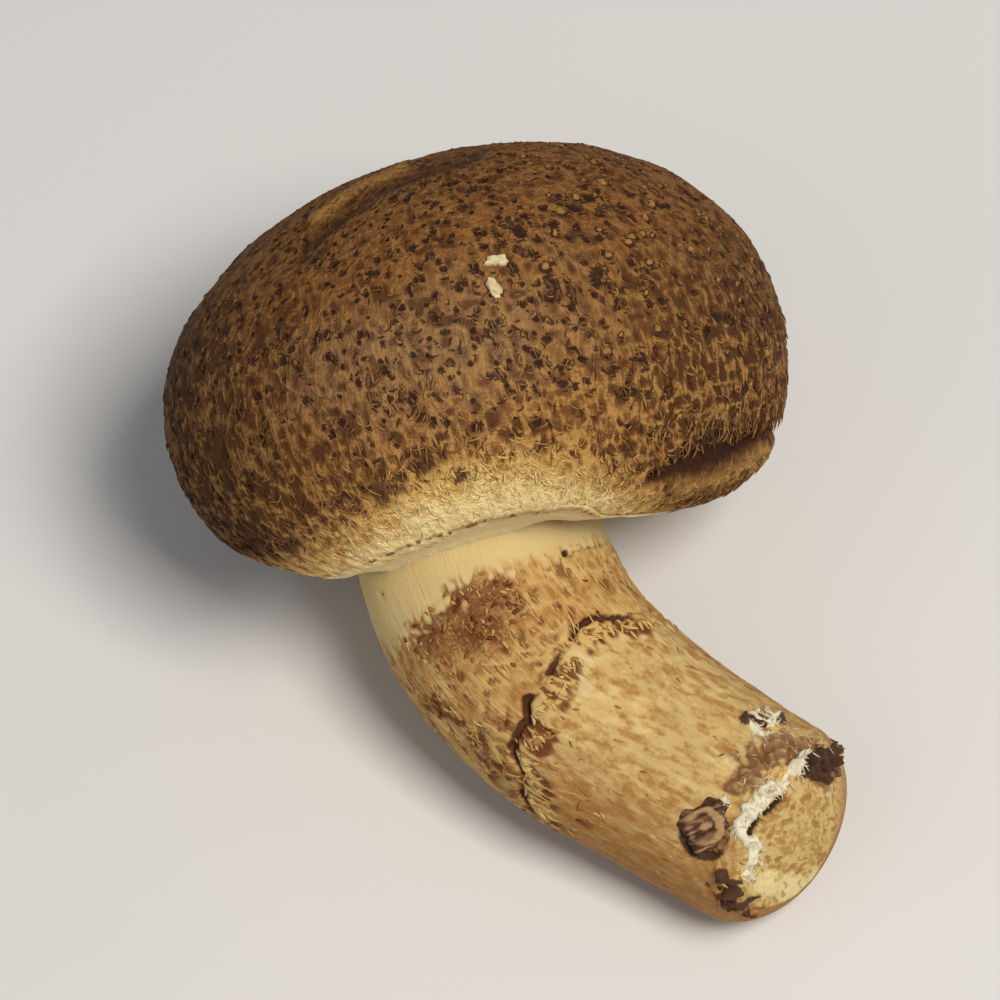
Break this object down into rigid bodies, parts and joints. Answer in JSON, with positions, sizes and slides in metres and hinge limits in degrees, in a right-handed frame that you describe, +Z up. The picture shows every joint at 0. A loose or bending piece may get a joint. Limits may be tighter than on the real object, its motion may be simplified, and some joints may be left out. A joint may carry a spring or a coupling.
{
  "type": "shiitake mushroom",
  "caption": "Fresh shiitake mushroom with a domed, inrolled brown cap and a bent fibrous stem, lying on its side as picked.",
  "frame": {"origin": "on the floor, under the middle of the mushroom's bounding box", "axes": "+Z up from the floor that the mushroom lies on, +Y from the foot of the stem towards the cap, +X across the cap"},
  "size_m": [0.0546, 0.0703, 0.0487],
  "materials": {
    "cap_skin": "matte brown skin with fine dark scales",
    "stem_skin": "matte cream fibres with tan and red-brown scales",
    "gills": "matte cream",
    "bark": "rough dark purple-brown bark"
  },
  "bodies": {
    "root": {"mushroom": "cap_skin", "bark_chip_1": "bark", "bark_chip_2": "bark", "bark_chip_3": "bark", "bark_chip_4": "bark"}
  },
  "joints": []
}
